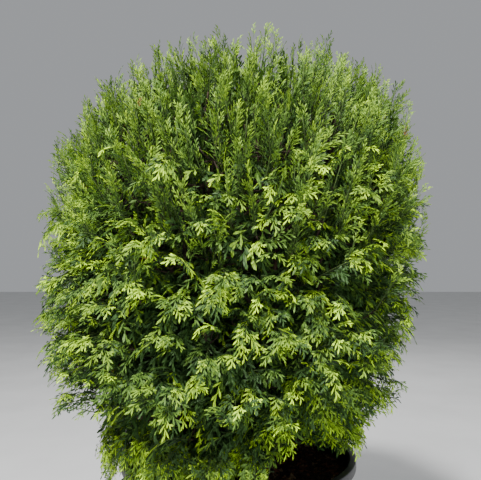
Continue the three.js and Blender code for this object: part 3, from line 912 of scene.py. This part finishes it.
def add_bump(nodes, links, shader, height, strength, distance):
    """Lets a height disturb the shading by up to a distance in metres."""
    bump = nodes.new("ShaderNodeBump")
    bump.inputs["Strength"].default_value = strength
    bump.inputs["Distance"].default_value = distance
    links.new(height, bump.inputs["Height"])
    links.new(bump.outputs["Normal"], shader.inputs["Normal"])


def linear(red, green, blue):
    """A colour as seen, with parts from 0 to 255, as amounts of light."""
    parts = np.array([red, green, blue]) / 255
    return tuple(np.where(parts < 0.04045, parts / 12.92, ((parts + 0.055) / 1.055) ** 2.4))


def grained_material(name, size, detail, span, colours, bump, roughness, specular, stretch=(1, 1, 1)):
    """A finish whose colour and bump follow one noise, with lumps of a size in metres.

    The colour goes from the dark to the light one over a span of the noise. The bump is given as its
    strength and its depth in metres.
    """
    material, nodes, links, shader = new_material(name)
    grain = noise_node(nodes, links, size, detail, stretch).outputs["Fac"]
    links.new(blend_colours(nodes, links, grain, *span, *colours), shader.inputs["Base Color"])
    add_bump(nodes, links, shader, grain, *bump)
    shader.inputs["Roughness"].default_value = roughness
    shader.inputs["Specular IOR Level"].default_value = specular
    return material


SCALE_LEAF = 0.0022
MOTTLE = (0.72, 1.22)
# Shade and deep are greens painted in shadow, yellow and lime are greens painted in sun and paler new
# growth, and dry is its own brown.
TONE_COLOURS = {
    "shade": linear(25, 40, 20),
    "deep": linear(52, 78, 35),
    "green": linear(88, 119, 45),
    "fresh": linear(124, 157, 48),
    "yellow": linear(162, 198, 42),
    "lime": linear(196, 240, 44),
    "dry": linear(116, 84, 38),
}


def shoot_material(tone):
    """A tone with the mottle of scale leaves and a shallow bump."""
    return grained_material(
        "shoots_" + tone,
        size=SCALE_LEAF,
        detail=2,
        span=(0.35, 0.65),
        colours=[tuple(strength * part for part in TONE_COLOURS[tone]) for strength in MOTTLE],
        bump=(0.4, 0.0006),
        roughness=0.52,
        specular=0.16,
    )


TONE_MATERIALS = {tone: shoot_material(tone) for tone in TONES}

# %% Add the foliage
FOLIAGE_NODES = [name for name in NODES if name.startswith("foliage")]
PIECE_LIMIT = 190_000

for tone, shoots in zip(TONES, shoots_by_tone):
    shares = math.ceil(len(SHOOT_TRIANGLES) * len(shoots) / PIECE_LIMIT)
    for number, part in enumerate(np.array_split(shoots, shares), start=1):
        name = f"sprays_{tone}_{number}"
        points, triangles = join_copies(part, SHOOT_TRIANGLES)
        add_piece(name, points, triangles, TONE_MATERIALS[tone], "foliage", FOLIAGE_NODES, smooth=False)

# %% [markdown]
# ## The bark
# The bark of a thuja is reddish brown and peels in thin upright strips. On the trunk the strips are real
# relief: the radius is raised and lowered by noise that is stretched along the trunk. The boughs have the
# same relief at a smaller scale, and branches and twigs only the colour.

# %% Materials for bark and twigs
def bark_material(name, dark, light, strip_width):
    """Fibres along the height: noise squeezed across and stretched upwards, as colour and as bump."""
    return grained_material(
        name,
        size=strip_width,
        detail=5,
        span=(0.32, 0.68),
        colours=(dark, light),
        bump=(0.7, strip_width / 4),
        roughness=0.85,
        specular=0.25,
        stretch=(1, 1, 0.12),
    )


BARK = bark_material("peeling_bark", linear(48, 35, 27), linear(100, 76, 58), 0.003)
TWIG_BARK = bark_material("twig_bark", linear(32, 25, 19), linear(64, 49, 36), 0.0015)
GREEN_BARK = bark_material("green_twig_bark", linear(44, 60, 28), linear(74, 92, 40), 0.0015)

# %% Grow the trunk and the boughs
TRUNK_RADIUS = 0.015
TRUNK_TOP_RADIUS = 0.0085
ROOT_FLARE = 0.75
ROOT_FLARE_FALL = 11
BUTTRESSES = 5
BUTTRESS_TURN = 1.2
BUTTRESS_DEPTH = 0.12
TRUNK_SIDES = 96
TRUNK_ROWS = 150
STRIP_SQUEEZE = 0.16
STRIP_WIDTH = 0.0035
FINE_STRIP_WIDTH = 0.0016
STRIP_RELIEF = 0.0011
STRIP_SINKING = 0.8
BOUGH_RADII = (0.0054, 0.0022)
BOUGH_SIDES = 12
BOUGH_ROWS = 60
BOUGH_SWELLING = 0.07
BOUGH_SWELLING_SIZE = 0.008
BOUGH_RELIEF = 0.00035
BOUGH_RELIEF_SIZE = 0.002
BOUGH_RELIEF_SQUEEZE = (1, 1, 0.4)


def trunk_surface():
    """A tube whose radius tapers, flares at the root and rises and falls in long upright strips."""
    share = np.linspace(0, 1, TRUNK_ROWS)[:, None]
    turn = even_turns(TRUNK_SIDES)
    height = TRUNK_FOOT + share * (TRUNK_TOP - TRUNK_FOOT)
    taper = TRUNK_RADIUS + (TRUNK_TOP_RADIUS - TRUNK_RADIUS) * share
    buttress = BUTTRESS_DEPTH * np.cos(BUTTRESSES * turn + BUTTRESS_TURN)
    buttress = 1 + buttress * np.exp(-ROOT_FLARE_FALL * share)
    radius = taper * (1 + ROOT_FLARE * np.exp(-ROOT_FLARE_FALL * share)) * buttress
    skin = around(radius, turn, height * STRIP_SQUEEZE)
    strips = smooth_noise(skin, STRIP_WIDTH, SEED + 2)
    strips = strips + smooth_noise(skin, FINE_STRIP_WIDTH, SEED + 3) / 2
    radius = radius + STRIP_RELIEF * (strips - STRIP_SINKING)
    rings = around(radius, turn, height)
    rings[..., 0] += trunk_shift(height)
    middle = [[0, 0, TRUNK_FOOT], [trunk_shift(TRUNK_TOP), 0, TRUNK_TOP]]
    return np.vstack([rings.reshape(-1, 3), middle]), ring_triangles(TRUNK_ROWS, TRUNK_SIDES)


add_piece("trunk_bark", *trunk_surface(), BARK, "bark", ["trunk"])

bough_paths = bent(bough_starts, bough_controls, bough_ends, BOUGH_ROWS)
bough_radii = np.linspace(*BOUGH_RADII, BOUGH_ROWS) * np.ones((MASS_COUNT, 1))
bough_radii *= 1 + BOUGH_SWELLING * smooth_noise(bough_paths, BOUGH_SWELLING_SIZE, SEED + 4)
points, triangles = tubes(bough_paths, bough_radii, BOUGH_SIDES)
relief = smooth_noise(points * BOUGH_RELIEF_SQUEEZE, BOUGH_RELIEF_SIZE, SEED + 5)
points = points + BOUGH_RELIEF * relief[:, None] * (1, 1, 0)
bough_nodes = [name for name in NODES if name.startswith("bough")]
add_piece("bough_bark", points, triangles, BARK, "bark", bough_nodes)

# %% Add the branches and twigs
BRANCH_RADII = (0.0026, 0.0013)
TWIG_RADII = (0.0012, 0.0010)
AXIS_RADII = (0.0009, 0.0005)
BRANCH_SIDES = 6
TWIG_SIDES = 3

branch_radii = np.linspace(*BRANCH_RADII, BRANCH_STEPS) * np.ones((len(branch_paths), 1))
twig_radii = np.linspace(*TWIG_RADII, TWIG_STEPS) * np.ones((len(twig_paths), 1))
axis_radii = np.linspace(*AXIS_RADII, AXIS_STEPS) * np.ones((len(axis_paths), 1))
add_piece("branches", *tubes(branch_paths, branch_radii, BRANCH_SIDES), TWIG_BARK, "bark")
add_piece("twigs", *tubes(twig_paths, twig_radii, TWIG_SIDES), TWIG_BARK, "bark")
add_piece("frond_stalks", *tubes(axis_paths, axis_radii, TWIG_SIDES), GREEN_BARK, "bark")

# %% [markdown]
# ## The pot
# A blow-moulded nursery pot is a thin tapered shell with a band under its lip, drain notches round its
# foot and soft edges. The profile of the solid is turned again with many more sides, and every corner of
# it is replaced by a short curve. Drain holes are cut with a Boolean modifier, the plainest way to open a
# thin wall cleanly.

# %% Turn the pot
POT_HEIGHT = POT_HIGH.z
POT_RIM_RADIUS = POT_HIGH.x
POT_FOOT_RADIUS = 0.146
POT_MOUTH_RADIUS = 0.170
POT_WALL = 0.0025
FOOT_CHAMFER = 0.004
LIP_DROP = 0.014
BAND_HEIGHT = 0.052
BAND_STEP = 0.002
CORNER_RADIUS = 0.0016
CORNER_STEPS = 5
MOST_OF_AN_EDGE = 0.45
POT_SIDES = 192


def pot_radius(height):
    """The pot's outer radius below its lip: a straight taper, and a band that stands out at the top."""
    band = BAND_STEP if height > POT_HEIGHT - BAND_HEIGHT else 0
    return POT_FOOT_RADIUS + (POT_MOUTH_RADIUS - POT_FOOT_RADIUS) * height / POT_HEIGHT + band - BAND_STEP


def rounded(profile, radius, steps):
    """A profile whose corners become quadratic curves, which start and end a radius from the corner.

    On a short edge they start and end nearer, so that two curves never meet.
    """
    profile = np.asarray(profile, float)
    before, corner, after = profile[:-2], profile[1:-1], profile[2:]
    to_before = np.linalg.norm(before - corner, axis=1, keepdims=True)
    to_after = np.linalg.norm(after - corner, axis=1, keepdims=True)
    start = corner + (before - corner) * np.minimum(MOST_OF_AN_EDGE, radius / to_before)
    end = corner + (after - corner) * np.minimum(MOST_OF_AN_EDGE, radius / to_after)
    curves = bent(start, corner, end, steps).reshape(-1, 2)
    return np.vstack([profile[:1], curves, profile[-1:]])


band_foot = POT_HEIGHT - BAND_HEIGHT
lip_foot = POT_HEIGHT - LIP_DROP
lip_underside = POT_HEIGHT - POT_WALL
pot_profile = [
    (0, 0),
    (pot_radius(0) - FOOT_CHAMFER, 0),
    (pot_radius(FOOT_CHAMFER), FOOT_CHAMFER),
    (pot_radius(band_foot), band_foot),
    (pot_radius(band_foot) + BAND_STEP, band_foot + BAND_STEP),
    (pot_radius(lip_underside), lip_underside),
    (POT_RIM_RADIUS - POT_WALL, lip_underside),
    (POT_RIM_RADIUS - POT_WALL, lip_foot),
    (POT_RIM_RADIUS, lip_foot),
    (POT_RIM_RADIUS, POT_HEIGHT),
    (pot_radius(POT_HEIGHT) - POT_WALL, POT_HEIGHT),
    (pot_radius(band_foot) + BAND_STEP - POT_WALL, band_foot + BAND_STEP),
    (pot_radius(band_foot) - POT_WALL, band_foot),
    (pot_radius(POT_WALL) - POT_WALL - FOOT_CHAMFER / 2, POT_WALL),
    (0, POT_WALL),
]
pot_points, pot_triangles = lathe(rounded(pot_profile, CORNER_RADIUS, CORNER_STEPS), POT_SIDES)
print("pot triangles:", len(pot_triangles))


# %% Material for the pot
def plastic_material():
    """Black plastic with a dull sheen, a fine grain, and dust that lies in patches."""
    material, nodes, links, shader = new_material("black_plastic")
    dust = noise_node(nodes, links, size=0.03, detail=6)
    grain = noise_node(nodes, links, size=0.0012, detail=3)
    tint = blend_colours(
        nodes,
        links,
        dust.outputs["Fac"],
        low=0.38,
        high=0.78,
        dark=linear(27, 28, 31),
        light=linear(66, 66, 66),
    )
    links.new(tint, shader.inputs["Base Color"])
    rough = nodes.new("ShaderNodeMapRange")
    rough.inputs["To Min"].default_value = 0.34
    rough.inputs["To Max"].default_value = 0.62
    links.new(dust.outputs["Fac"], rough.inputs["Value"])
    links.new(rough.outputs["Result"], shader.inputs["Roughness"])
    add_bump(nodes, links, shader, grain.outputs["Fac"], strength=0.25, distance=0.0003)
    return material


# %% Cut the drain holes
DRAIN_COUNT = 6
DRAIN_RADIUS = 0.011
DRAIN_LEVEL = 0.005
DRAIN_SIDES = 32
DRAIN_REACH = 3


def drain_cutters():
    """Round plugs that lie along the pot's radius, evenly round its foot, and reach well past its wall."""
    turn = (np.arange(DRAIN_COUNT) + 0.5) * 2 * np.pi / DRAIN_COUNT
    outward = around(1, turn, 0)
    middle = (POT_FOOT_RADIUS - BAND_STEP) * outward + DRAIN_LEVEL * UP
    paths = middle[:, None] + np.linspace(-1, 1, 3)[:, None] * DRAIN_REACH * POT_WALL * outward[:, None]
    return tubes(paths, np.full(paths.shape[:2], DRAIN_RADIUS), DRAIN_SIDES)


pot = add_piece("nursery_pot", pot_points, pot_triangles, plastic_material(), "pot", ["pot"])
cutters = add_mesh("drain_cutters", *drain_cutters(), pot.data.materials[0])
cut = pot.modifiers.new("drains", "BOOLEAN")
cut.operation = "DIFFERENCE"
cut.solver = "EXACT"
cut.object = cutters
bpy.context.view_layer.objects.active = pot
bpy.ops.object.modifier_apply(modifier=cut.name)
bpy.data.objects.remove(cutters)
print("pot faces after the cut:", len(pot.data.polygons))

# %% [markdown]
# ## The potting mix
# The mix is composted bark: dark crumbs with chips on top. The body of it is a turned solid that fills
# the pot, and the rows of its top are raised and lowered by noise at three sizes. The chips are small
# askew blocks, one shape copied more than two thousand times, each with a size, turn and tilt of its own.

# %% Material for the mix and its chips
def mix_material(name, dark, light, crumb):
    """Crumbs: fine detailed noise, as colour and as a strong bump."""
    return grained_material(
        name,
        size=crumb,
        detail=6,
        span=(0.35, 0.7),
        colours=(dark, light),
        bump=(0.8, crumb / 3),
        roughness=0.95,
        specular=0.15,
    )


DARK_MIX = mix_material("composted_bark", linear(26, 20, 16), linear(70, 52, 38), 0.004)
CHIP_MATERIALS = {
    "dark": mix_material("dark_chips", linear(34, 26, 21), linear(74, 56, 43), 0.003),
    "red": mix_material("red_chips", linear(72, 44, 30), linear(122, 80, 54), 0.003),
    "dry": mix_material("dry_chips", linear(104, 84, 60), linear(150, 126, 94), 0.003),
}

# %% Heap up the mix
MIX_DEPTH_BELOW_RIM = 0.026
TRUNK_GAP = 0.0003
MIX_EDGE = POT_HEIGHT - MIX_DEPTH_BELOW_RIM
MIX_TOP = TRUNK_FOOT - TRUNK_GAP
MIX_MOUND_RADIUS = 0.048
MIX_GAP = 0.0006
MIX_TOP_ROWS = 70
MIX_SIDES = 180
MIX_LUMPS = ((0.0026, 0.022), (0.0016, 0.009), (0.0009, 0.0036))
TRUNK_SURROUND = 0.03
TRUNK_SURROUND_RISE = 0.0008


def mix_level(points):
    """The level of the mix: flat, a mound round the trunk, and lumps of three sizes."""
    radius = np.hypot(points[..., 0], points[..., 1])
    edge_radius = pot_radius(MIX_EDGE)
    slope = np.clip((edge_radius - radius) / (edge_radius - MIX_MOUND_RADIUS), 0, 1)
    flat = points * (1, 1, 0)
    lumps = 0
    for seed, (height, size) in enumerate(MIX_LUMPS, start=SEED + 6):
        lumps = lumps + height * smooth_noise(flat, size, seed)
    near_trunk = np.exp(-((radius / TRUNK_SURROUND) ** 2))
    level = MIX_EDGE + (MIX_TOP - MIX_EDGE) * slope + (1 - near_trunk) * lumps
    return level + TRUNK_SURROUND_RISE * near_trunk


def inside_radius(height):
    """The radius of the mix where it lies against the pot's wall."""
    return pot_radius(height) - POT_WALL - MIX_GAP


bottom = POT_WALL + MIX_GAP
side_profile = [
    (0, bottom),
    (inside_radius(bottom) - FOOT_CHAMFER, bottom),
    (inside_radius(band_foot), band_foot),
    (inside_radius(MIX_EDGE) - BAND_STEP, band_foot + 2 * BAND_STEP),
]
top_radii = np.linspace(inside_radius(MIX_EDGE), 0, MIX_TOP_ROWS)
mix_profile = np.vstack([side_profile, np.stack([top_radii, np.full(MIX_TOP_ROWS, MIX_EDGE)], axis=-1)])
mix_points, mix_triangles = lathe(mix_profile, MIX_SIDES)
on_top = mix_points[:, 2] > MIX_EDGE - 1e-6
mix_points[on_top, 2] = mix_level(mix_points[on_top])
add_piece("potting_mix_heap", mix_points, mix_triangles, DARK_MIX, "potting_mix", ["potting_mix"])

# %% Scatter the chips
CHIP_COUNTS = {"dark": 1500, "red": 700, "dry": 160}
CHIP_LENGTHS = (0.003, 0.013)
CHIP_WIDTH_SHARES = (0.3, 0.7)
CHIP_THICKNESSES = (0.0012, 0.003)
CHIP_ASKEWNESS = 0.16
CHIP_PITCH = 0.35
CHIP_ROLL = 0.3
CHIP_LIFT = 0.0006
CHIPLESS_EDGE = 0.006
CHIPLESS_MIDDLE = 0.02
CHIP_FACES = (
    ([0, 2, 1], [1, 2, 3]),
    ([4, 5, 6], [5, 7, 6]),
    ([0, 1, 4], [1, 5, 4]),
    ([2, 6, 3], [3, 6, 7]),
    ([0, 4, 2], [2, 4, 6]),
    ([1, 3, 5], [3, 7, 5]),
)
CHIP_TRIANGLES = np.reshape(CHIP_FACES, (-1, 3))


def chips(count):
    """Askew blocks on the mix: a unit block whose corners are shifted, scaled, tilted and turned."""
    corners = np.array(list(np.ndindex(2, 2, 2)))[:, ::-1] - 0.5
    block = corners + CHIP_ASKEWNESS * rng.normal(size=(count, 8, 3))
    length = rng.uniform(*CHIP_LENGTHS, count)
    width = length * rng.uniform(*CHIP_WIDTH_SHARES, count)
    thickness = rng.uniform(*CHIP_THICKNESSES, count)
    block = block * np.stack([length, width, thickness], axis=-1)[:, None]
    spread = np.sqrt(rng.uniform(CHIPLESS_MIDDLE, 1, count))
    radius = (inside_radius(MIX_EDGE) - CHIPLESS_EDGE) * spread
    turn = rng.uniform(0, 2 * np.pi, count)
    place = around(radius, turn, 0)
    place[:, 2] = mix_level(place) + CHIP_LIFT
    heading = rng.uniform(0, 2 * np.pi, count)
    pitch = CHIP_PITCH * rng.normal(size=count)
    along = unit(around(1, heading, pitch))
    across = unit(np.cross(UP + CHIP_ROLL * rng.normal(size=(count, 3)), along))
    above = np.cross(along, across)
    frames = np.stack([along, across, above], axis=1)
    return place[:, None] + block @ frames


for kind, count in CHIP_COUNTS.items():
    points, triangles = join_copies(chips(count), CHIP_TRIANGLES)
    add_piece(f"chips_{kind}", points, triangles, CHIP_MATERIALS[kind], "potting_mix", smooth=False)

# %% [markdown]
# ## Floor, light and air
# The plant stands on a plain pale floor under studio lamps. A strong small key lamp, high in front and a
# little to the left, gives the bright fans and the deep gaps between them. A low, cool fill lamp in front
# lightens the shadows, and a wide weak lamp does the same from behind.

# %% Set the stage
FLOOR_HALF = 12.0
# Each lamp's name, place, size in metres, power in watts and tint
LAMPS = (
    ("key_lamp", (-0.60, -1.55, 2.75), 0.35, 185, (1, 1, 1)),
    ("fill_lamp", (0.5, -2.1, 0.2), 1.2, 24, (0.80, 0.90, 1)),
    ("back_lamp", (0.6, 2.2, 2.2), 1.6, 25, (1, 1, 1)),
)
LAMP_TARGET = Vector((0, 0, 0.5))


def floor_material():
    """A pale matt floor with a faint mottle."""
    material, nodes, links, shader = new_material("pale_floor")
    mottle = noise_node(nodes, links, size=0.25, detail=4)
    tint = blend_colours(
        nodes,
        links,
        mottle.outputs["Fac"],
        low=0.3,
        high=0.7,
        dark=(0.60, 0.60, 0.59),
        light=(0.66, 0.66, 0.65),
    )
    links.new(tint, shader.inputs["Base Color"])
    shader.inputs["Roughness"].default_value = 0.9
    return material


floor_points = FLOOR_HALF * np.array([[-1, -1, 0], [1, -1, 0], [1, 1, 0], [-1, 1, 0]])
floor_triangles = np.array([[0, 1, 2], [0, 2, 3]])
floor = add_mesh("floor", floor_points, floor_triangles, floor_material(), smooth=False)

for name, place, size, power, tint in LAMPS:
    lamp_data = bpy.data.lights.new(name, "AREA")
    lamp_data.shape = "DISK"
    lamp_data.size = size
    lamp_data.energy = power
    lamp_data.color = tint
    lamp = bpy.data.objects.new(name, lamp_data)
    lamp.location = place
    toward = LAMP_TARGET - lamp.location
    lamp.rotation_euler = toward.to_track_quat("-Z", "Y").to_euler()
    bpy.context.scene.collection.objects.link(lamp)

world = bpy.data.worlds.new("studio")
world.use_nodes = True
air = world.node_tree.nodes["Background"]
air.inputs["Color"].default_value = (0.93, 0.96, 1.0, 1)
air.inputs["Strength"].default_value = 0.38
bpy.context.scene.world = world
